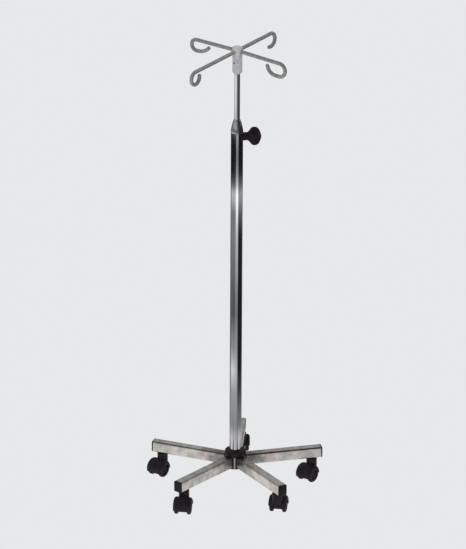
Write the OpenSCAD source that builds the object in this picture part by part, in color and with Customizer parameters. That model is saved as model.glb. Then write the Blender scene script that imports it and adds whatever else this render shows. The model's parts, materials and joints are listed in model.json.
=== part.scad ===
// Height-adjustable infusion stand on a five-leg rolling base.
// Origin: on the floor, under the pole's axis. +Z is up and +X is to the right, seen from the front.

/* [Base] */
// Distance from the pole's axis to the outer end of a leg
leg_reach = 238; // [220:1:300]
// Width of a leg's section
leg_width = 25; // [22:1:30]
// Height of a leg's section
leg_height = 30; // [26:1:36]
// Wall of a leg
leg_wall = 1.5; // [1:0.5:2.5]
// Height of the legs' underside above the floor
leg_underside = 63; // [61:1:75]
// Direction of the rear leg, counter-clockwise from +X
rear_leg_heading = 86; // [70:1:110]

/* [Hub] */
// Radius of the hub that holds the legs
hub_r = 27; // [25:0.5:28]
// Radius of the dress collar around the foot of the column
hub_collar_r = 28.5; // [24:0.5:32]
// Height of the dress collar
hub_collar_h = 15; // [8:1:25]

/* [Casters] */
// Radius of a caster wheel
wheel_r = 21.5; // [20:0.5:23]
// Width of one of the two wheels
wheel_w = 10.5; // [9:0.5:12]
// Distance of the axle behind the swivel axis
caster_trail = 18; // [14:1:20]
// Direction in which the rear caster trails, counter-clockwise from +X
rear_caster_heading = 90; // [0:1:359]
// Directions in which the others trail: left, front left, front right, right
caster_headings = [234, 262, 80, 234]; // [0:1:359]

/* [Column] */
// Outer radius of the column tube
tube_r = 16; // [15:0.5:17]
// Wall of the column tube
tube_wall = 1.5; // [1:0.5:2]
// Height of the tube's top above the floor
tube_top = 1016; // [900:1:1200]
// Height of the cone that caps the tube
cone_h = 35; // [20:1:50]

/* [Height clamp] */
// Direction in which the clamp knob points
clamp_heading = 8; // [-60:1:60]
// Depth of the clamp below the top of the tube
clamp_drop = 13; // [12:1:40]
// Radius of the knob over its lobes
knob_r = 25; // [20:0.5:30]
// Number of lobes on the knob
knob_lobes = 5; // [4:1:7]

/* [Rod and hooks] */
// Radius of the sliding rod
rod_r = 7.5; // [7:0.5:9]
// Height of the rod's top with the rod as shown
rod_top = 1222; // [1160:1:1400]
// Length of the rod
rod_length = 992; // [600:1:1000]
// Radius of the hub that holds the hooks
hook_hub_r = 13; // [12:0.5:18]
// Height of the hook hub
hook_hub_h = 73; // [60:1:90]
// Radius of the hook wire
wire_r = 5; // [4:0.25:5.5]
// Direction of the first hook, counter-clockwise from +X
hook_heading = 53; // [0:1:89]
// Distances from the pole's axis to the curls: back right, back left, front left, front right
hook_reaches = [144, 134, 180, 137]; // [110:1:200]
// Rise of each arm towards its curl, in degrees
hook_tilts = [2, 0, -2, -2]; // [-5:0.5:5]
// Radius of each curl's outer bend, at the wire's centre
curl_radii = [18, 15, 17, 18]; // [15:1:24]
// Straight stretch at the bottom of each curl
curl_flats = [4, 6, 0, 13]; // [0:1:20]
// Radius of each curl's tip
tip_radii = [18, 46, 17, 27]; // [15:1:50]
// Bend of each curl's tip, in degrees
tip_sweeps = [10, 48, 95, 75]; // [5:1:100]

/* [Hidden] */
$fn = 64;
RUN = 0.05;            // radial clearance of a running fit
SNUG = 0.02;           // radial clearance of a fixed fit
GAP = 0.1;             // clearance between faces that nearly meet
LEG_STEP = 72;
SIDES = [0, 1, 2, 3, 4];   // rear, left, front left, front right, right

leg_corner = 4;
leg_top = leg_underside + leg_height;
leg_inner_end = hub_r + 0.5;
cap_flange = 4;
cap_plug = 11;
tongue_start = tube_r + 2;
tongue_end = 75;
leg_screw_at = 60;
leg_screw_r = 2.5;
leg_screw_head_r = 4.75;
leg_screw_head_h = 2.8;
leg_screw_hex_r = 1.7;
leg_screw_hex_depth = 1.6;

hub_floor = 6;
hub_bottom = leg_underside - 4;
tube_foot = hub_bottom + hub_floor;
tube_bore_r = tube_r - tube_wall;
plug_h = 30;
bolt_r = 5;
bolt_engagement = 24;
bolt_head_r = 9;
bolt_head_h = 6.4;
washer_r = 12;
washer_h = 1.6;

stem_r = 5.5;
stem_inset = 27;
stem_at = leg_reach - stem_inset;
stem_shoulder_r = 8;
stem_shoulder_h = 2;
stem_bottom = 42;
stem_grip = 22;
socket_r = 8.4;       // inside the flat of the leg's floor, clear of its rounded corners
boss_r = 14;
boss_top = leg_underside - stem_shoulder_h - GAP;
boss_bottom = 32;
axle_r = 3;
web_t = 22;
web_rise = 7;          // of the web's lowest point above the floor
wheel_gap = 0.7;
wheel_inner = web_t / 2 + wheel_gap;
wheel_outer = wheel_inner + wheel_w;
tread_round = 4.5;
hood_gap = 1.2;
hood_t = 2.3;
hood_side_t = 1.8;
hood_r = wheel_r + hood_gap + hood_t;
hood_half_w = wheel_outer + wheel_gap + hood_side_t;
hood_corner = 8;
hood_inner_corner = 5.5;
hood_window_r = wheel_r - 7;
hood_start = -15;
hood_sweep = 190;
hub_cap_r = 8;
recess_r = wheel_r - 8;
recess_depth = 2;

bush_h = 50;
cone_lip_r = tube_r + 0.4;
cone_lip_h = 2;
cone_bore_r = rod_r + 0.4;
cone_top_r = rod_r + 1.5;
cone_steps = 8;

clamp_z = tube_top - clamp_drop;
screw_r = 4;
screw_hole_r = screw_r + 0.6;
clamp_boss_r = 11;
clamp_boss_end = 24;
pad_r = 4.05;
pad_start = rod_r + 0.06;
pad_end = 13;
knob_start = 25;
knob_neck_r = 11;
knob_neck_h = 2;
knob_core_r = 0.66 * knob_r;
knob_head_start = knob_start + 12.5;
knob_head_end = knob_head_start + 18;
knob_end = knob_head_end + 9;
screw_end = knob_start + 27.5;

rod_bottom = rod_top - rod_length;
guide_h = 30;
guide_at = rod_bottom + 4;
clip_r = 11;
clip_t = 1.5;
clip_groove = 0.5;
clip_gap = 0.2;

hook_hub_top = rod_top + 30;
hook_hub_bottom = hook_hub_top - hook_hub_h;
hook_hub_chamfer = 5;
hook_z = hook_hub_top - 9.5;
rod_top_gap = 1.2;
wire_start = wire_r * sqrt(2) + 0.3;
wire_ball_extra = 0.12;
set_screw_r = 2.5;
set_screw_z = hook_hub_bottom + 32;
set_screw_heading = 226;
set_screw_sunk = 0.6;
set_screw_hex_r = 1.4;
set_screw_hex_depth = 2.4;

STEEL = "silver";
CHROME = "gainsboro";
BLACK = [0.12, 0.11, 0.12];
DULL = "darkgray";

// ---- placing ----

function leg_heading(i) = rear_leg_heading + LEG_STEP * i;
function caster_heading(i) = i == 0 ? rear_caster_heading : caster_headings[i - 1];

// Children drawn along +X come out along leg i
module on_leg(i) {
    rotate([0, 0, leg_heading(i)]) children();
}

// Children drawn about the swivel axis, trailing towards +X, come out at caster i
module at_caster(i) {
    on_leg(i)
        translate([stem_at, 0, 0])
            rotate([0, 0, caster_heading(i) - leg_heading(i)])
                children();
}

// Children drawn about the local Z axis come out about the axle of caster i
module at_axle(i) {
    at_caster(i)
        translate([caster_trail, 0, wheel_r])
            rotate([90, 0, 0])
                children();
}

// Children drawn along +Z come out along the clamp's axis, from the pole's axis outwards
module at_clamp() {
    rotate([0, 0, clamp_heading])
        translate([0, 0, clamp_z])
            rotate([0, 90, 0])
                children();
}

// Children drawn along +X come out along hook i
module on_hook(i) {
    rotate([0, 0, hook_heading + 90 * i])
        translate([0, 0, hook_z])
            rotate([0, -hook_tilts[i], 0])
                children();
}

// ---- shapes ----

module ring(outer, inner, h) {
    difference() {
        cylinder(r = outer, h = h);
        translate([0, 0, -1]) cylinder(r = inner, h = h + 2);
    }
}

// Rectangle with round corners, centred
module round_rect(w, h, r) {
    square([w - 2 * r, h], center = true);
    square([w, h - 2 * r], center = true);
    for (x = [-1, 1], y = [-1, 1]) {
        translate([x * (w / 2 - r), y * (h / 2 - r)]) circle(r = r);
    }
}

// A leg's section, shrunk by inset, drawn out along +X between two distances
module leg_bar(from, to, inset) {
    translate([from, 0, leg_underside + leg_height / 2])
        rotate([90, 0, 90])
            linear_extrude(to - from)
                round_rect(leg_width - 2 * inset, leg_height - 2 * inset, leg_corner - inset);
}

// ---- base ----

module hub_body() {
    color(BLACK) difference() {
        union() {
            translate([0, 0, hub_bottom]) cylinder(r = hub_r, h = leg_top - hub_bottom);
            for (i = SIDES) {
                on_leg(i) leg_bar(tongue_start, tongue_end, leg_wall + SNUG);
            }
        }
        translate([0, 0, tube_foot]) cylinder(r = tube_r + SNUG, h = 2 * leg_height);
        translate([0, 0, hub_bottom - 1]) cylinder(r = bolt_r + SNUG, h = hub_floor + 2);
        for (i = SIDES) {
            on_leg(i) translate([leg_screw_at, 0, leg_underside])
                cylinder(r = leg_screw_r + SNUG, h = leg_height / 2);
        }
    }
}

module hub_collar() {
    round_r = 6;
    bore_r = tube_r + SNUG;
    color(BLACK) translate([0, 0, leg_top]) rotate_extrude() {
        translate([bore_r, 0]) square([hub_collar_r - bore_r, hub_collar_h - round_r]);
        translate([bore_r, 0]) square([hub_collar_r - round_r - bore_r, hub_collar_h]);
        translate([hub_collar_r - round_r, hub_collar_h - round_r]) circle(r = round_r);
    }
}

module column_foot_plug() {
    color(STEEL) translate([0, 0, tube_foot + GAP]) ring(tube_bore_r - SNUG, bolt_r + SNUG, plug_h);
}

module hub_bolt() {
    shank_h = hub_floor + bolt_engagement;
    color(STEEL) {
        translate([0, 0, hub_bottom - washer_h - bolt_head_h])
            cylinder(r = bolt_head_r, h = bolt_head_h, $fn = 6);
        translate([0, 0, hub_bottom - washer_h - 1]) cylinder(r = bolt_r, h = shank_h);
    }
}

module hub_washer() {
    color(STEEL) translate([0, 0, hub_bottom - washer_h]) ring(washer_r, bolt_r + SNUG, washer_h);
}

module leg_screws() {
    shank_h = 10;
    color(STEEL) for (i = SIDES) {
        on_leg(i) translate([leg_screw_at, 0, leg_underside]) {
            difference() {
                translate([0, 0, -leg_screw_head_h]) cylinder(r = leg_screw_head_r, h = leg_screw_head_h);
                translate([0, 0, -leg_screw_head_h - 1])
                    cylinder(r = leg_screw_hex_r, h = leg_screw_hex_depth + 1, $fn = 6);
            }
            translate([0, 0, -0.5]) cylinder(r = leg_screw_r, h = shank_h);
        }
    }
}

module leg(i) {
    color(CHROME) on_leg(i) difference() {
        leg_bar(leg_inner_end, leg_reach - cap_flange, 0);
        leg_bar(leg_inner_end - 1, leg_reach, leg_wall);
        translate([leg_screw_at, 0, leg_underside - 1])
            cylinder(r = leg_screw_r + SNUG, h = leg_wall + 2);
        translate([stem_at, 0, leg_underside - 1]) cylinder(r = stem_r + SNUG, h = leg_wall + 2);
    }
}

module leg_cap(i) {
    plug_wall = 2.5;
    color(BLACK) on_leg(i) {
        leg_bar(leg_reach - cap_flange, leg_reach, 0);
        difference() {
            leg_bar(leg_reach - cap_flange - cap_plug, leg_reach - 1, leg_wall + SNUG);
            leg_bar(leg_reach - cap_flange - cap_plug - 1, leg_reach - cap_flange, leg_wall + plug_wall);
        }
    }
}

module caster_sockets() {
    socket_h = leg_height - 2 * leg_wall - GAP;
    color(STEEL) for (i = SIDES) {
        on_leg(i) translate([stem_at, 0, leg_underside + leg_wall]) ring(socket_r, stem_r + SNUG, socket_h);
    }
}

// ---- casters ----

module caster_stem(i) {
    color(STEEL) at_caster(i) {
        translate([0, 0, stem_bottom]) cylinder(r = stem_r, h = leg_underside + stem_grip - stem_bottom);
        translate([0, 0, leg_underside - stem_shoulder_h])
            cylinder(r = stem_shoulder_r, h = stem_shoulder_h);
    }
}

// Section of a solid of revolution: radius r across, from -half_w to half_w, with round outer corners
module rounded_section(r, half_w, corner) {
    translate([0, -half_w]) square([r - corner, 2 * half_w]);
    translate([0, corner - half_w]) square([r, 2 * (half_w - corner)]);
    for (side = [-1, 1]) {
        translate([r - corner, side * (half_w - corner)]) circle(r = corner);
    }
}

// Room for one wheel, from the web outwards along +Z
module wheel_room() {
    room_r = wheel_r + hood_gap;
    room_w = hood_half_w - hood_side_t - web_t / 2;
    translate([0, 0, web_t / 2]) {
        rotate_extrude() {
            square([room_r - hood_inner_corner, room_w]);
            square([room_r, room_w - hood_inner_corner]);
            translate([room_r - hood_inner_corner, room_w - hood_inner_corner])
                circle(r = hood_inner_corner);
        }
        cylinder(r = hood_window_r, h = hood_half_w);
    }
}

module caster_housing(i) {
    color(BLACK) difference() {
        union() {
            at_axle(i) rotate([0, 0, hood_start]) rotate_extrude(angle = hood_sweep)
                rounded_section(hood_r, hood_half_w, hood_corner);
            at_axle(i) translate([0, 0, -web_t / 2]) cylinder(r = wheel_r - web_rise, h = web_t);
            at_caster(i) translate([0, 0, boss_bottom]) cylinder(r = boss_r, h = boss_top - boss_bottom);
        }
        at_caster(i) translate([0, 0, boss_bottom - 1]) cylinder(r = stem_r + RUN, h = boss_top);
        at_axle(i) translate([0, 0, -web_t]) cylinder(r = axle_r + SNUG, h = 2 * web_t);
        for (side = [0, 1]) {
            at_axle(i) mirror([0, 0, side]) wheel_room();
        }
    }
}

module caster_axle(i) {
    half = wheel_outer - recess_depth;
    color(STEEL) at_axle(i) translate([0, 0, -half]) cylinder(r = axle_r, h = 2 * half);
}

// One wheel of caster i; side is 1 or -1
module wheel(i, side) {
    color(BLACK) at_axle(i) mirror([0, 0, (1 - side) / 2]) translate([0, 0, wheel_inner])
        rotate_extrude() difference() {
            union() {
                translate([axle_r + RUN, 0]) square([wheel_r - tread_round - axle_r - RUN, wheel_w]);
                translate([axle_r + RUN, tread_round])
                    square([wheel_r - axle_r - RUN, wheel_w - 2 * tread_round]);
                translate([wheel_r - tread_round, tread_round]) circle(r = tread_round);
                translate([wheel_r - tread_round, wheel_w - tread_round]) circle(r = tread_round);
            }
            translate([hub_cap_r, wheel_w - recess_depth])
                square([recess_r - hub_cap_r, recess_depth + 1]);
        }
}

// ---- column ----

module outer_tube() {
    color(CHROME) difference() {
        translate([0, 0, tube_foot]) ring(tube_r, tube_bore_r, tube_top - tube_foot);
        at_clamp() cylinder(r = screw_hole_r, h = tube_r + 2);
    }
}

// The cone's outline swells between the lip and the rod
function cone_r(t) = cone_top_r + (cone_lip_r - cone_top_r) * (1 - pow(t, 1.5));

module top_cone() {
    swell_h = cone_h - cone_lip_h;
    color(CHROME) translate([0, 0, tube_top]) rotate_extrude()
        polygon([
            [cone_bore_r, 0],
            [cone_lip_r, 0],
            for (k = [0 : cone_steps]) [cone_r(k / cone_steps), cone_lip_h + swell_h * k / cone_steps],
            [cone_bore_r, cone_h]
        ]);
}

module guide_bush() {
    color("white") difference() {
        translate([0, 0, tube_top - bush_h]) ring(tube_bore_r - SNUG, rod_r + RUN, bush_h);
        at_clamp() cylinder(r = pad_r + RUN, h = tube_r + 2);
    }
}

module clamp_boss() {
    color(BLACK) difference() {
        at_clamp() cylinder(r = clamp_boss_r, h = clamp_boss_end);
        translate([0, 0, clamp_z - 2 * clamp_boss_r]) cylinder(r = tube_r + SNUG, h = 4 * clamp_boss_r);
        at_clamp() translate([0, 0, 1]) cylinder(r = screw_r + RUN, h = clamp_boss_end);
    }
}

// ---- height clamp ----

module clamp_knob() {
    lobe_r = knob_r - knob_core_r;
    lobe_inset = 0.5;
    crown_step = 1;
    crown_chamfer = 4;
    color(BLACK) at_clamp() difference() {
        union() {
            rotate_extrude() polygon([
                [0, knob_start],
                [knob_neck_r, knob_start],
                [knob_neck_r, knob_start + knob_neck_h],
                [knob_core_r, knob_head_start],
                [knob_core_r, knob_head_end],
                [knob_core_r - crown_step, knob_head_end],
                [knob_core_r - crown_chamfer, knob_end],
                [0, knob_end]
            ]);
            for (k = [0 : knob_lobes - 1]) {
                rotate([0, 0, 360 / knob_lobes * k + 180])
                    translate([knob_core_r, 0, knob_head_start + lobe_inset])
                        cylinder(r = lobe_r, h = knob_head_end - knob_head_start - 2 * lobe_inset);
            }
        }
        translate([0, 0, knob_start - 1]) cylinder(r = screw_r + SNUG, h = screw_end - knob_start + 1);
    }
}

module clamp_screw() {
    color(STEEL) at_clamp() translate([0, 0, pad_end + GAP])
        cylinder(r = screw_r, h = screw_end - pad_end - 2 * GAP);
}

module clamp_pad() {
    color("ivory") at_clamp() difference() {
        cylinder(r = pad_r, h = pad_end);
        rotate([0, 90, 0]) cylinder(r = pad_start, h = 4 * pad_r, center = true);
    }
}

// ---- rod and hooks ----

module rod_guide() {
    color("white") translate([0, 0, guide_at]) ring(tube_bore_r - RUN, rod_r + RUN, guide_h);
}

module inner_rod() {
    color(CHROME) difference() {
        translate([0, 0, rod_bottom]) cylinder(r = rod_r, h = rod_length);
        clip_places() ring(rod_r + 1, rod_r - clip_groove - SNUG, clip_t);
    }
}

// Children come out at the two grooves, below and above the rod guide
module clip_places() {
    for (z = [guide_at - clip_gap - clip_t, guide_at + guide_h + clip_gap]) {
        translate([0, 0, z]) children();
    }
}

module rod_clips() {
    color(STEEL) clip_places() ring(clip_r, rod_r - clip_groove, clip_t);
}

module hook_hub() {
    color(DULL) difference() {
        union() {
            translate([0, 0, hook_hub_bottom])
                cylinder(r1 = hook_hub_r - hook_hub_chamfer, r2 = hook_hub_r, h = hook_hub_chamfer);
            translate([0, 0, hook_hub_bottom + hook_hub_chamfer])
                cylinder(r = hook_hub_r, h = hook_hub_h - hook_hub_chamfer);
        }
        translate([0, 0, hook_hub_bottom - 1]) 
            cylinder(r = rod_r + SNUG, h = rod_top + rod_top_gap + 1 - hook_hub_bottom);
        for (i = [0 : 3]) {
            on_hook(i) rotate([0, 90, 0]) cylinder(r = wire_r + SNUG, h = hook_hub_r + 1);
        }
        at_set_screw() cylinder(r = set_screw_r + SNUG, h = hook_hub_r + 1);
    }
}

module at_set_screw() {
    rotate([0, 0, set_screw_heading]) translate([0, 0, set_screw_z]) rotate([0, 90, 0]) children();
}

module hub_set_screw() {
    color([0.2, 0.2, 0.2]) difference() {
        at_set_screw() translate([0, 0, 1]) cylinder(r = set_screw_r, h = hook_hub_r - set_screw_sunk - 1);
        translate([0, 0, set_screw_z - 2 * set_screw_r]) cylinder(r = rod_r + RUN, h = 4 * set_screw_r);
        at_set_screw() translate([0, 0, hook_hub_r - set_screw_sunk - set_screw_hex_depth])
            cylinder(r = set_screw_hex_r, h = set_screw_hex_depth + 1, $fn = 6);
    }
}

// Stretch of wire bent about the local Z axis, from an angle on from +X
module wire_bend(bend_r, from, sweep) {
    rotate([0, 0, from]) rotate_extrude(angle = sweep) translate([bend_r, 0]) circle(r = wire_r);
}

// Slightly proud ball that joins two stretches of wire or closes an end
module wire_ball() {
    sphere(r = wire_r + wire_ball_extra, $fn = 48);
}

// Curl of hook i, hanging below the XY plane and starting along +X at the origin
module curl(i) {
    curl_r = curl_radii[i];
    wire_ball();
    translate([0, 0, -curl_r]) rotate([90, 0, 0]) wire_bend(curl_r, -90, 180);
    translate([-curl_flats[i], 0, -2 * curl_r]) {
        wire_ball();
        if (curl_flats[i] > 0) {
            rotate([0, 90, 0]) cylinder(r = wire_r, h = curl_flats[i]);
            translate([curl_flats[i], 0, 0]) wire_ball();
        }
        translate([0, 0, tip_radii[i]]) {
            rotate([90, 0, 0]) wire_bend(tip_radii[i], -90 - tip_sweeps[i], tip_sweeps[i]);
            rotate([0, tip_sweeps[i], 0]) translate([0, 0, -tip_radii[i]]) wire_ball();
        }
    }
}

module hook(i) {
    color(DULL) on_hook(i) {
        translate([wire_start, 0, 0]) rotate([0, 90, 0])
            cylinder(r = wire_r, h = hook_reaches[i] - wire_start);
        translate([hook_reaches[i], 0, 0]) curl(i);
    }
}

// ---- nodes ----

hub_body();
hub_collar();
hub_bolt();
hub_washer();
column_foot_plug();
leg_screws();
leg(0);  // leg_rear
leg(1);  // leg_left
leg(2);  // leg_front_left
leg(3);  // leg_front_right
leg(4);  // leg_right
leg_cap(0);  // cap_rear
leg_cap(1);  // cap_left
leg_cap(2);  // cap_front_left
leg_cap(3);  // cap_front_right
leg_cap(4);  // cap_right
caster_sockets();
caster_stem(0);  // stem_rear
caster_stem(1);  // stem_left
caster_stem(2);  // stem_front_left
caster_stem(3);  // stem_front_right
caster_stem(4);  // stem_right
caster_housing(0);  // housing_rear
caster_housing(1);  // housing_left
caster_housing(2);  // housing_front_left
caster_housing(3);  // housing_front_right
caster_housing(4);  // housing_right
caster_axle(0);  // axle_rear
caster_axle(1);  // axle_left
caster_axle(2);  // axle_front_left
caster_axle(3);  // axle_front_right
caster_axle(4);  // axle_right
wheel(0, 1);  // wheel_a_rear
wheel(1, 1);  // wheel_a_left
wheel(2, 1);  // wheel_a_front_left
wheel(3, 1);  // wheel_a_front_right
wheel(4, 1);  // wheel_a_right
wheel(0, -1);  // wheel_b_rear
wheel(1, -1);  // wheel_b_left
wheel(2, -1);  // wheel_b_front_left
wheel(3, -1);  // wheel_b_front_right
wheel(4, -1);  // wheel_b_right
outer_tube();
top_cone();
guide_bush();
clamp_boss();
clamp_knob();
clamp_screw();
clamp_pad();
rod_guide();
inner_rod();
rod_clips();
hook_hub();
hub_set_screw();
hook(0);  // hook_back_right
hook(1);  // hook_back_left
hook(2);  // hook_front_left
hook(3);  // hook_front_right
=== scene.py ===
"""Looks of a rolling infusion stand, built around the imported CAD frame.

Lengths are metres in the CAD frame, +Z up, +X right and -Y towards the viewer, or millimetres times MM.
Most CAD nodes keep their shape and get a material. The column's tube and cone, the rod, the knob and the
legs' end caps are replaced by finer meshes, and the hub gets ribs that only the visual model has.
"""

import json
import math

import bmesh
import bpy
from mathutils import Matrix, Vector


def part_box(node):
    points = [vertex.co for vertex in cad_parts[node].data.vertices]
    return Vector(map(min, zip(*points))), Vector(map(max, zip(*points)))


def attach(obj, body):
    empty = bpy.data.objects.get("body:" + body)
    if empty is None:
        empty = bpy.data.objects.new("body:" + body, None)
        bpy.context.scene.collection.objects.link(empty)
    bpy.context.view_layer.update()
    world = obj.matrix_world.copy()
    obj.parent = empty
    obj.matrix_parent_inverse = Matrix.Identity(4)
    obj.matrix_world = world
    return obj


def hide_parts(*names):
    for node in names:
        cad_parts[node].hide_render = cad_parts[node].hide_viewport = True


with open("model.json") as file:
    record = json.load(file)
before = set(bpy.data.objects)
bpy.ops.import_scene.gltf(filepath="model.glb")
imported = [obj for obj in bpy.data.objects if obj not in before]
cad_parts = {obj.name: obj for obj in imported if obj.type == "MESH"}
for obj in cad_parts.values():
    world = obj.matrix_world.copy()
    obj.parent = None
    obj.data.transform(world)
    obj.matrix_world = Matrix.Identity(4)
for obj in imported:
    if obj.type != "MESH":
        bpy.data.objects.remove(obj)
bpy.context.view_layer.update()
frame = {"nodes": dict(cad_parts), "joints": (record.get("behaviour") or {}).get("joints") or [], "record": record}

MM = 0.001
UP = Vector((0, 0, 1))
SIDES = ("rear", "left", "front_left", "front_right", "right")

# ---------------------------------------------------------------- node trees


class Nodes:
    """Short calls for building a node tree."""

    def __init__(self, tree):
        self.tree = tree
        tree.nodes.clear()

    def add(self, kind, **settings):
        """A new node. Settings name its properties."""
        node = self.tree.nodes.new(kind)
        for key, value in settings.items():
            setattr(node, key, value)
        return node

    def put(self, node, name, value):
        """Links a socket to the node's input, or sets the input's value."""
        socket = node.inputs[name]
        if isinstance(value, bpy.types.NodeSocket):
            self.tree.links.new(value, socket)
        elif socket.type == "RGBA" and len(value) == 3:
            socket.default_value = (*value, 1.0)
        else:
            socket.default_value = value

    def fill(self, node, **values):
        """Several inputs at once; an underscore stands for a space."""
        for name, value in values.items():
            self.put(node, name.replace("_", " "), value)
        return node

    def math(self, operation, a, b=0.0, c=0.0):
        node = self.add("ShaderNodeMath", operation=operation)
        for index, value in enumerate((a, b, c)):
            self.put(node, index, value)
        return node.outputs[0]

    def split(self, vector):
        """The X, Y and Z sockets of a vector."""
        node = self.add("ShaderNodeSeparateXYZ")
        self.put(node, 0, vector)
        return node.outputs["X"], node.outputs["Y"], node.outputs["Z"]

    def from_pole(self, x, y):
        """Distance of (x, y) from the pole's axis."""
        squares = self.math("MULTIPLY_ADD", x, x, self.math("MULTIPLY", y, y))
        return self.math("SQRT", squares)

    def ramp(self, factor, stops, interpolation="LINEAR"):
        """A grey ramp through (position, tone) stops."""
        node = self.add("ShaderNodeValToRGB")
        node.color_ramp.interpolation = interpolation
        elements = node.color_ramp.elements
        elements.remove(elements[1])
        for index, (position, tone) in enumerate(stops):
            element = elements[0] if index == 0 else elements.new(position)
            element.position = position
            element.color = (tone, tone, tone, 1)
        self.put(node, 0, factor)
        return node.outputs[0]

    def mix(self, factor, a, b, blend="MIX"):
        node = self.add("ShaderNodeMix", data_type="RGBA", blend_type=blend)
        for index, value in ((0, factor), (6, a), (7, b)):     # the colour sockets are 6 and 7
            self.put(node, index, value)
        return node.outputs[2]

    def noise(self, vector, scale, detail=3.0):
        node = self.fill(self.add("ShaderNodeTexNoise"), Scale=scale, Detail=detail, Vector=vector)
        return node.outputs[0]

    def output(self, kind, socket):
        self.put(self.add(kind), "Surface", socket)


def new_material(name):
    mat = bpy.data.materials.new(name)
    mat.use_nodes = True
    return mat, Nodes(mat.node_tree)


# ---------------------------------------------------------------- materials


def shaded_near_hub(nodes, base, place, space, near, far, tone):
    """Painted shade: the base colour, darkened towards tone in patches from the far radius inwards to the near
    one, so that the legs look shaded near the hub.
    """
    wander = 0.09                         # of the patches' borders, in metres
    x, y, _ = nodes.split(place)
    radius = nodes.math("MULTIPLY_ADD", nodes.noise(space, 55.0, 4.0), wander, nodes.from_pole(x, y))
    share = nodes.math("DIVIDE", nodes.math("SUBTRACT", radius, near + wander / 2), far - near)
    return nodes.mix(1.0, base, nodes.ramp(share, ((0.0, tone), (1.0, 1.0)), "EASE"), "MULTIPLY")


def worn_edges(nodes, base, colour, space, rounded, worn):
    """The base colour, chipped paler where the rounded normal leaves the flat one, which is at edges."""
    flat = nodes.add("ShaderNodeNewGeometry").outputs["Normal"]
    dot = nodes.add("ShaderNodeVectorMath", operation="DOT_PRODUCT")
    nodes.put(dot, 0, rounded)
    nodes.put(dot, 1, flat)
    rub = nodes.ramp(dot.outputs["Value"], ((0.80, 1.0), (0.99, 0.0)))
    chips = nodes.ramp(nodes.noise(space, 260.0, 4.0), ((0.45, 0.0), (0.62, 1.0)))
    rub = nodes.math("MULTIPLY", nodes.math("MULTIPLY", rub, chips), worn)
    pale = tuple(min(1.0, 0.05 + 2.2 * channel) for channel in colour)
    return nodes.mix(rub, base, pale)


def surface(name, colour, tint=None, metallic=0.0, roughness=0.4, rough_spread=0.06, specular=0.5,
            mottle_scale=40.0, mottle=0.12, grain_scale=1400.0, grain_depth=0.02, stretch=(1, 1, 1),
            edge=0.6, worn=0.0, hub_shade=None):
    """A metal or plastic: mottled colour, uneven roughness, fine grain and softened edges.

    Grain depth and edge are millimetres. The colour drifts towards tint in broad patches. Worn is the strength of
    paler edges, and the last argument, a (near radius, far radius, tone) triple, paints shade onto the colour near
    the hub.
    """
    mat, nodes = new_material(name)
    place = nodes.add("ShaderNodeTexCoord").outputs["Object"]
    space = nodes.fill(nodes.add("ShaderNodeMapping"), Vector=place, Scale=stretch).outputs[0]

    patches = nodes.ramp(nodes.noise(space, mottle_scale, 4.0), ((0.36, 0.0), (0.64, 1.0)), "EASE")
    drift = nodes.ramp(nodes.noise(space, mottle_scale * 0.37, 2.0), ((0.4, 0.0), (0.6, 1.0)), "EASE")
    base = nodes.mix(drift, colour, tint or colour)
    shade = nodes.mix(patches, (1 - mottle,) * 3, (1 + mottle,) * 3)
    base = nodes.mix(1.0, base, shade, "MULTIPLY")
    # painted shade: the colour darkens towards the hub
    if hub_shade:
        base = shaded_near_hub(nodes, base, place, space, *hub_shade)

    rounded = nodes.fill(nodes.add("ShaderNodeBevel", samples=6), Radius=edge * MM).outputs[0]
    if worn:
        base = worn_edges(nodes, base, colour, space, rounded, worn)

    rough = nodes.math("MULTIPLY_ADD", nodes.noise(space, mottle_scale * 2.3, 5.0), 2 * rough_spread,
                       roughness - rough_spread)
    bump = nodes.fill(nodes.add("ShaderNodeBump"), Strength=1.0, Distance=grain_depth * MM,
                      Height=nodes.noise(space, grain_scale, 2.0), Normal=rounded)
    shader = nodes.fill(nodes.add("ShaderNodeBsdfPrincipled"), Base_Color=base, Metallic=metallic,
                        Roughness=rough, Normal=bump.outputs[0], Specular_IOR_Level=specular)
    nodes.output("ShaderNodeOutputMaterial", shader.outputs[0])
    return mat


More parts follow.
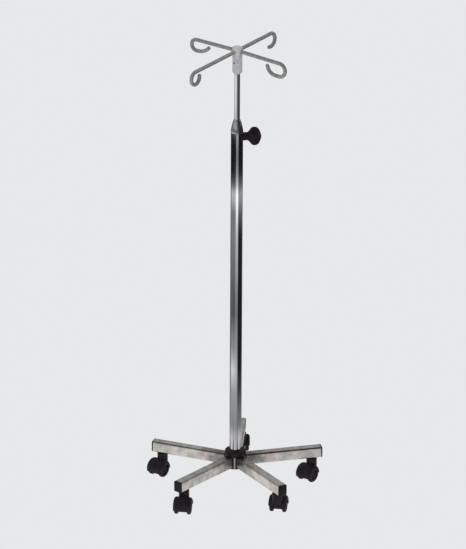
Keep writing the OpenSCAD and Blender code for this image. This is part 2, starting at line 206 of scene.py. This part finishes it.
MATERIALS = {
    "chrome_tube": surface(
        "chrome_tube", (0.93, 0.915, 0.935), metallic=1.0, roughness=0.055, rough_spread=0.02,
        mottle_scale=30, mottle=0.07, grain_scale=300, grain_depth=0.0015, stretch=(1, 1, 0.25), edge=0.1),
    "polished_steel": surface(
        "polished_steel", (0.92, 0.84, 0.81), tint=(0.83, 0.82, 0.76), metallic=1.0, roughness=0.26,
        rough_spread=0.08, mottle_scale=42, mottle=0.17, grain_scale=700, edge=0.4,
        # painted shade on the legs near the hub
        hub_shade=(0.03, 0.13, 0.42)),
    "steel": surface(
        "steel", (0.48, 0.48, 0.49), metallic=1.0, roughness=0.34, grain_scale=1100, grain_depth=0.01,
        edge=0.3),
    "black_plastic": surface(
        "black_plastic", (0.0105, 0.0080, 0.0100), roughness=0.42, mottle=0.2, mottle_scale=60, worn=0.5,
        specular=0.3),
    "caster_plastic": surface(
        "caster_plastic", (0.0125, 0.0085, 0.0120), roughness=0.46, mottle=0.2, mottle_scale=70,
        grain_depth=0.03, edge=0.8, worn=0.5, specular=0.3),
    "tyre_plastic": surface(
        "tyre_plastic", (0.0120, 0.0088, 0.0115), roughness=0.55, mottle=0.3, mottle_scale=90,
        grain_depth=0.03, specular=0.25),
    "knob_plastic": surface(
        "knob_plastic", (0.0105, 0.0065, 0.0095), mottle=0.2, mottle_scale=80, grain_depth=0.03, worn=0.4,
        specular=0.3),
    "cast_hub": surface(
        "cast_hub", (0.70, 0.69, 0.73), metallic=0.5, roughness=0.5, mottle_scale=110, mottle=0.1,
        grain_scale=650, grain_depth=0.07, edge=0.8),
    "hook_wire": surface(
        "hook_wire", (0.56, 0.56, 0.555), metallic=0.8, roughness=0.38, mottle_scale=120, mottle=0.16,
        grain_scale=800, edge=0.3),
    "guide_plastic": surface("guide_plastic", (0.72, 0.71, 0.66), roughness=0.45, mottle=0.05, edge=0.3),
}


def smooth(obj, degrees):
    """Smooth shading, with edges sharper than the angle kept crisp."""
    for polygon in obj.data.polygons:
        polygon.use_smooth = True
    obj.data.set_sharp_from_angle(angle=math.radians(degrees))


def paint_frame():
    """Each CAD node gets the material of its slot."""
    for row in frame["record"]["subparts"]:
        obj = frame["nodes"][row["node"]]
        obj.data.materials.clear()
        obj.data.materials.append(MATERIALS[row["material_slot"]])
        smooth(obj, 35)


# ---------------------------------------------------------------- mesh pieces


def add_object(name, data):
    obj = bpy.data.objects.new(name, data)
    bpy.context.scene.collection.objects.link(obj)
    return obj


def mesh_of(name, points, faces):
    """A mesh whose faces all look outwards."""
    mesh = bpy.data.meshes.new(name)
    mesh.from_pydata(points, [], faces)
    mesh.validate()
    shape = bmesh.new()
    shape.from_mesh(mesh)
    bmesh.ops.recalc_face_normals(shape, faces=shape.faces)
    shape.to_mesh(mesh)
    shape.free()
    return mesh


def add_piece(name, skin, slot, body, crease, node=None):
    """A piece from (points, faces) in metres, on a body. It stands for a CAD node, if one is named."""
    obj = add_object(name, mesh_of(name, *skin))
    obj.data.materials.append(MATERIALS[slot])
    smooth(obj, crease)
    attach(obj, body)
    if node:
        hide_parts(node)
    return obj


def lofted(rings):
    """The skin through rings of points, all of one count, with both ends capped."""
    count = len(rings[0])
    points = [point for ring in rings for point in ring]
    faces = []
    for level in range(len(rings) - 1):
        low, high = level * count, (level + 1) * count
        for k in range(count):
            after = (k + 1) % count
            faces.append((low + k, low + after, high + after, high + k))
    faces.append(tuple(reversed(range(count))))
    faces.append(tuple(range(len(points) - count, len(points))))
    return points, faces


def turned(outline):
    """The skin of a closed outline of (radius, height) points in mm, turned about the pole's axis."""
    count, size = 128, len(outline)
    points, faces = [], []
    for k in range(count):
        angle = 2 * math.pi * k / count
        points += [(r * MM * math.cos(angle), r * MM * math.sin(angle), z * MM) for r, z in outline]
        here, after = k * size, (k + 1) % count * size
        for j in range(size):
            beside = (j + 1) % size
            faces.append((here + j, after + j, after + beside, here + beside))
    return points, faces


def heights(node):
    """Lowest and highest point of a CAD node in mm."""
    low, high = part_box(node)
    return low.z / MM, high.z / MM


def joint(name):
    return next(row for row in frame["joints"] if row["name"] == name)


def knob_line():
    """A point on the axis of the clamp's knob, and its direction outwards."""
    row = joint("knob_turn")
    return Vector(row["pos_m"]), Vector(row["axis"]).normalized()


def leg_heading(side):
    """Direction of a leg, from where its caster swivels."""
    x, y, _ = joint("caster_swivel_" + side)["pos_m"]
    return math.atan2(y, x)


def along_and_across(heading):
    """Level directions outwards along a heading and to its left."""
    along = Vector((math.cos(heading), math.sin(heading), 0))
    return along, UP.cross(along)


# ---------------------------------------------------------------- column and rod

TUBE_R = 16.0
TUBE_WALL = 1.5
EDGE_R = 0.4                              # softening of the tube's and the cone's edges
CONE_LIP = 0.4                            # how far the cone stands out over the tube
PAD_HOLE_R = 4.6


def drill(obj, start, axis, radius, depth):
    """Cuts a round hole of a depth through a piece, from start along the axis."""
    cutter = bmesh.new()
    bmesh.ops.create_cone(cutter, cap_ends=True, segments=48, radius1=radius, radius2=radius, depth=depth)
    mesh = bpy.data.meshes.new("drill_bit")
    cutter.to_mesh(mesh)
    cutter.free()
    tool = add_object("drill_bit", mesh)
    turn = UP.rotation_difference(axis).to_matrix().to_4x4()
    tool.matrix_world = Matrix.Translation(start + axis * depth / 2) @ turn
    cut = obj.modifiers.new("hole", "BOOLEAN")
    cut.operation = "DIFFERENCE"
    cut.solver = "EXACT"
    cut.object = tool
    bpy.context.view_layer.update()
    whole = obj.evaluated_get(bpy.context.evaluated_depsgraph_get())
    drilled = bpy.data.meshes.new_from_object(whole)
    obj.modifiers.clear()
    obj.data = drilled
    bpy.data.objects.remove(tool)


def make_tube():
    """The chromed column tube, with the hole in its near wall for the clamp's pad."""
    foot, top = heights("outer_tube")
    bore = TUBE_R - TUBE_WALL
    outline = [
        (bore, foot), (TUBE_R - EDGE_R, foot), (TUBE_R, foot + EDGE_R), (TUBE_R, (foot + top) / 2),
        (TUBE_R, top - EDGE_R), (TUBE_R - EDGE_R, top), (bore, top),
    ]
    tube = add_piece("column_tube", turned(outline), "chrome_tube", "base", 30, "outer_tube")
    centre, axis = knob_line()
    drill(tube, centre + axis * (2 * MM), axis, PAD_HOLE_R * MM, 30 * MM)


def make_cone():
    """The cone that closes the tube round the rod: a short upright lip under a crowned slope."""
    foot, top = heights("top_cone")
    lip, neck, bore = TUBE_R + CONE_LIP, 9.0, 7.9
    shoulder, steps, crown = foot + 2.0, 28, 1.5
    outline = [(bore, foot), (lip - EDGE_R, foot), (lip, foot + EDGE_R), (lip, shoulder)]
    for k in range(1, steps + 1):
        t = k / steps
        outline.append((neck + (lip - neck) * (1 - t ** crown), shoulder + (top - EDGE_R - shoulder) * t))
    outline += [(neck - EDGE_R, top), (bore, top)]
    add_piece("column_cone", turned(outline), "chrome_tube", "base", 30, "top_cone")


def make_rod():
    """The telescoping rod, with softened ends and a groove for each of its two clips."""
    foot, top = heights("inner_rod")
    radius, centre_r, soft = 7.5, 0.2, 0.6
    groove, clip_t = 0.78, 1.0
    clips_foot, clips_top = heights("rod_clips")
    outline = [(centre_r, foot), (radius - soft, foot), (radius, foot + soft)]
    for z in (clips_foot, clips_top - clip_t):
        outline += [(radius, z), (radius - groove, z), (radius - groove, z + clip_t), (radius, z + clip_t)]
    outline += [(radius, top - soft), (radius - soft, top), (centre_r, top)]
    add_piece("telescoping_rod", turned(outline), "chrome_tube", "rod", 30, "inner_rod")


# ---------------------------------------------------------------- knob

KNOB_START = 25.0                         # of the knob's neck, from the pole's axis, in mm
KNOB_LOBES = 5
KNOB_HOLLOW = 0.70                        # radius in a hollow, as a share of that on a lobe
KNOB_STATIONS = (                         # mm along the axis, share of lobing, mm from the axis to a lobe
    (0.0, 0.0, 10.2), (0.5, 0.0, 10.9), (2.0, 0.0, 11.0), (3.5, 0.03, 11.5), (5.5, 0.15, 13.2),
    (8.0, 0.4, 16.6), (10.5, 0.7, 20.0), (13.0, 0.9, 22.7), (15.5, 1.0, 24.3), (18.5, 1.0, 25.0),
    (22.0, 1.0, 25.0), (25.5, 1.0, 24.3), (28.5, 1.0, 22.9), (31.0, 0.95, 20.7), (33.2, 0.8, 17.6),
    (35.0, 0.6, 14.2), (36.6, 0.35, 10.6), (37.8, 0.15, 7.0), (38.6, 0.0, 3.6), (39.0, 0.0, 1.0),
)


def ease(t):
    return t * t * (3 - 2 * t)


def knob_share(angle, lobing):
    """Radius at an angle as a share of a lobe's: full lobes with scooped hollows between them."""
    swell = ease(0.5 + 0.5 * math.cos(KNOB_LOBES * angle)) ** 0.8
    return 1 - lobing * (1 - KNOB_HOLLOW) * (1 - swell)


def make_knob():
    """The clamp knob: a round neck that flares into five full lobes under a crowned face."""
    centre, axis = knob_line()
    across = axis.cross(UP).normalized()
    count = 120
    rings = []
    for along, lobing, radius in KNOB_STATIONS:
        middle = centre + axis * ((KNOB_START + along) * MM)
        ring = []
        for k in range(count):
            angle = 2 * math.pi * k / count
            side = across * math.sin(angle) + UP * math.cos(angle)
            ring.append(middle + side * (radius * knob_share(angle, lobing) * MM))
        rings.append(ring)
    add_piece("knob_grip", lofted(rings), "knob_plastic", "knob", 40, "clamp_knob")


# ---------------------------------------------------------------- base

LEG_W = 25.0
LEG_REACH = 238.0                         # from the pole's axis to a cap's outer face
LEG_CORNER = 4.0
CAP_FLANGE = 4.0                          # thickness of the plate that shows outside the leg
PLUG_DEPTH = 11.0
PLUG_INSET = 1.52
HUB_R = 27.0


def rounded_rect(half_w, half_h, corner):
    """Points of a rounded rectangle about the origin, counter-clockwise."""
    steps = 6
    points = []
    for quarter, (x, y) in enumerate(((1, 1), (-1, 1), (-1, -1), (1, -1))):
        for k in range(steps + 1):
            angle = math.radians(90 * (quarter + k / steps))
            points.append((x * (half_w - corner) + corner * math.cos(angle),
                           y * (half_h - corner) + corner * math.sin(angle)))
    return points


def make_end_cap(side):
    """A leg's end cap: the moulded plate outside the leg, with rounded edges, and the plug behind it."""
    foot, top = heights("cap_" + side)
    out, left = along_and_across(leg_heading(side))
    least_corner = 1.2
    plate = LEG_REACH - CAP_FLANGE
    stations = (                          # distance from the pole's axis, inset of the outline
        (plate - PLUG_DEPTH, PLUG_INSET + 0.6),
        (plate - PLUG_DEPTH + 0.8, PLUG_INSET),
        (plate - 0.02, PLUG_INSET),
        (plate, 0.1),
        (plate + 0.15, 0.0),
        (LEG_REACH - 1.6, 0.0),
        (LEG_REACH - 0.8, 0.25),
        (LEG_REACH - 0.25, 0.85),
        (LEG_REACH, 1.9),
    )
    rings = []
    for distance, inset in stations:
        corner = max(LEG_CORNER - inset, least_corner)
        middle = out * distance + UP * ((foot + top) / 2)
        outline = rounded_rect(LEG_W / 2 - inset, (top - foot) / 2 - inset, corner)
        rings.append([(middle + left * x + UP * y) * MM for x, y in outline])
    add_piece("end_cap_" + side, lofted(rings), "black_plastic", "base", 40, "cap_" + side)


def make_hub_ribs():
    """Bright metal ribs on the hub, in the gaps between the legs' roots."""
    foot, top = heights("hub_body")
    foot += 1.5
    top -= 0.3
    half_w, root, proud, soft = 2.6, -1.0, 1.0, 0.5
    outline = (                           # across the rib, and out from the hub's surface
        (-half_w, root), (-half_w, proud - soft), (soft - half_w, proud), (0.0, proud + 0.12),
        (half_w - soft, proud), (half_w, proud - soft), (half_w, root),
    )
    levels = ((foot, -0.6), (foot + soft, 0.0), (top - soft, 0.0), (top, -0.6))   # height, step inwards
    points, faces = [], []
    for side in SIDES:
        out, across = along_and_across(leg_heading(side) + math.pi / len(SIDES))
        rings = []
        for z, sink in levels:
            reaches = [HUB_R + y + (sink if y > 0 else 0) for _, y in outline]
            rings.append([(out * reach + across * x + UP * z) * MM
                          for reach, (x, _) in zip(reaches, outline)])
        rib_points, rib_faces = lofted(rings)
        faces += [tuple(len(points) + k for k in face) for face in rib_faces]
        points += rib_points
    add_piece("hub_ribs", (points, faces), "steel", "base", 30)


# ---------------------------------------------------------------- studio

STUDIO_GREY = (0.799, 0.807, 0.823)       # linear
SOFT_GREY = (0.85, 0.85, 0.86)            # what lights the stand from all sides

FLOOR_MAP_REACH = 3.6                     # how far out the floor's reflected tones are described
FLOOR_TONES = (                           # metres from the pole, tone to the left, middle, right and behind
    (0.00, 0.30, 0.30, 0.25, 0.40),
    (0.10, 0.58, 0.50, 0.52, 0.45),
    (0.33, 0.60, 0.46, 0.54, 0.45),
    (0.42, 0.28, 0.28, 0.20, 0.20),
    (0.65, 0.32, 0.33, 0.05, 0.18),
    (0.80, 0.65, 0.50, 0.012, 0.16),
    (0.95, 0.28, 0.30, 0.010, 0.12),
    (1.20, 0.08, 0.18, 0.010, 0.10),
    (1.80, 0.20, 0.50, 0.012, 0.14),
    (1.97, 0.16, 0.85, 0.10, 0.20),
    (2.12, 0.55, 1.15, 0.35, 0.25),
    (2.20, 0.08, 0.60, 0.10, 0.08),
    (2.30, 0.006, 0.30, 0.010, 0.02),
    (2.45, 0.006, 0.16, 0.006, 0.02),
    (2.62, 0.006, 0.42, 0.006, 0.02),
    (2.75, 0.55, 0.14, 0.04, 0.20),
    (3.10, 0.72, 0.16, 0.05, 0.25),
    (3.30, 0.16, 0.12, 0.02, 0.10),
)


def make_world():
    """The camera sees plain grey. Reflections see a room: a grey wall behind, dark above and in front."""
    world = bpy.data.worlds.new("studio")
    bpy.context.scene.world = world
    world.use_nodes = True
    nodes = Nodes(world.node_tree)
    ray = nodes.add("ShaderNodeLightPath")
    x, y, z = nodes.split(nodes.add("ShaderNodeTexCoord").outputs["Generated"])   # a direction, -1 to 1
    to_right = nodes.math("MULTIPLY_ADD", x, 0.5, 0.5)
    to_back = nodes.math("MULTIPLY_ADD", y, 0.5, 0.5)
    behind = nodes.ramp(z, ((0.0, 0.12), (0.2, 0.22), (0.42, 0.33), (0.6, 0.25), (0.85, 0.06)))
    front = nodes.ramp(z, ((0.0, 0.34), (0.3, 0.22), (0.7, 0.04)))
    front = nodes.mix(1.0, front, nodes.ramp(to_right, ((0.4, 1.0), (0.7, 0.12))), "MULTIPLY")
    room = nodes.mix(nodes.ramp(to_back, ((0.42, 0.0), (0.6, 1.0))), front, behind)
    seen = nodes.mix(ray.outputs["Is Glossy Ray"], SOFT_GREY, room)
    seen = nodes.mix(ray.outputs["Is Camera Ray"], seen, STUDIO_GREY)
    background = nodes.fill(nodes.add("ShaderNodeBackground"), Color=seen)
    nodes.output("ShaderNodeOutputWorld", background.outputs[0])


def floor_tones(nodes, distance, column):
    """Tone by distance from the pole, in one column of FLOOR_TONES."""
    stops = [(row[0] / FLOOR_MAP_REACH, row[column]) for row in FLOOR_TONES]
    return nodes.ramp(nodes.math("DIVIDE", distance, FLOOR_MAP_REACH), stops)


def floor_material():
    """Plain and pale to the camera. In the chrome it is a room's floor with lit and dark stretches."""
    mat, nodes = new_material("floor")
    ray = nodes.add("ShaderNodeLightPath")
    x, y, _ = nodes.split(nodes.add("ShaderNodeTexCoord").outputs["Object"])
    distance = nodes.from_pole(x, y)
    bearing = nodes.math("DIVIDE", nodes.math("ARCTAN2", x, nodes.math("MULTIPLY", y, -1.0)), 2 * math.pi)
    bearing = nodes.math("ADD", bearing, 0.5)       # 0.5 is straight towards the viewer, more is right
    left, middle, right, behind = (floor_tones(nodes, distance, column) for column in (1, 2, 3, 4))
    tone = nodes.mix(nodes.ramp(bearing, ((0.5, 0.0), (0.6, 1.0)), "EASE"), left, right)
    centre = nodes.ramp(bearing, ((0.43, 0.0), (0.49, 1.0), (0.545, 1.0), (0.61, 0.0)), "EASE")
    tone = nodes.mix(centre, tone, middle)
    rim = nodes.ramp(bearing, ((0.0, 1.0), (0.14, 1.0), (0.24, 0.0), (0.80, 0.0), (0.9, 1.0)), "EASE")
    tone = nodes.mix(rim, tone, behind)
    mirrored = nodes.fill(nodes.add("ShaderNodeEmission"), Color=tone)
    plain = nodes.fill(nodes.add("ShaderNodeEmission"), Color=STUDIO_GREY)
    seen = nodes.add("ShaderNodeMixShader")
    for index, socket in enumerate((ray.outputs["Is Glossy Ray"], plain.outputs[0], mirrored.outputs[0])):
        nodes.put(seen, index, socket)
    nodes.output("ShaderNodeOutputMaterial", seen.outputs[0])
    return mat


def make_floor():
    half = 60.0
    corners = [(-half, -half, 0), (half, -half, 0), (half, half, 0), (-half, half, 0)]
    mesh = bpy.data.meshes.new("floor")
    mesh.from_pydata(corners, [], [(0, 1, 2, 3)])
    mesh.materials.append(floor_material())
    add_object("floor", mesh)


def make_light(name, place, size, power):
    """A round soft light aimed at the stand. Reflections don't show it."""
    data = bpy.data.lights.new(name, "AREA")
    data.shape = "DISK"
    data.size = size
    data.energy = power
    light = add_object(name, data)
    aim = UP * 0.6 - Vector(place)
    light.location = place
    light.rotation_euler = aim.to_track_quat("-Z", "Y").to_euler()
    light.visible_glossy = False


def make_camera():
    """A long lens from the front, raised so that it looks down on the base."""
    distance = 14.0                       # from the pole's axis, level
    height = 6.4607
    aside = -0.00866
    down = math.radians(22.672)
    roll = 0.0049
    lens_per_frame = 10.471               # focal length over the frame's longer side
    data = bpy.data.cameras.new("camera")
    data.sensor_width = 36.0
    data.lens = lens_per_frame * data.sensor_width
    data.clip_end = 200.0
    camera = add_object("camera", data)
    aim = Matrix.Rotation(math.pi / 2 - down, 4, "X") @ Matrix.Rotation(roll, 4, "Z")
    camera.matrix_world = Matrix.Translation((aside, -distance, height)) @ aim
    bpy.context.scene.camera = camera


paint_frame()
make_tube()
make_cone()
make_rod()
make_knob()
make_hub_ribs()
for side in SIDES:
    make_end_cap(side)
make_world()
make_floor()
make_light("key", (-2.2, -3.0, 3.2), 1.6, 60)
make_light("fill", (3.0, -1.5, 2.0), 2.0, 18)
make_camera()
bpy.context.scene.view_settings.view_transform = "Standard"
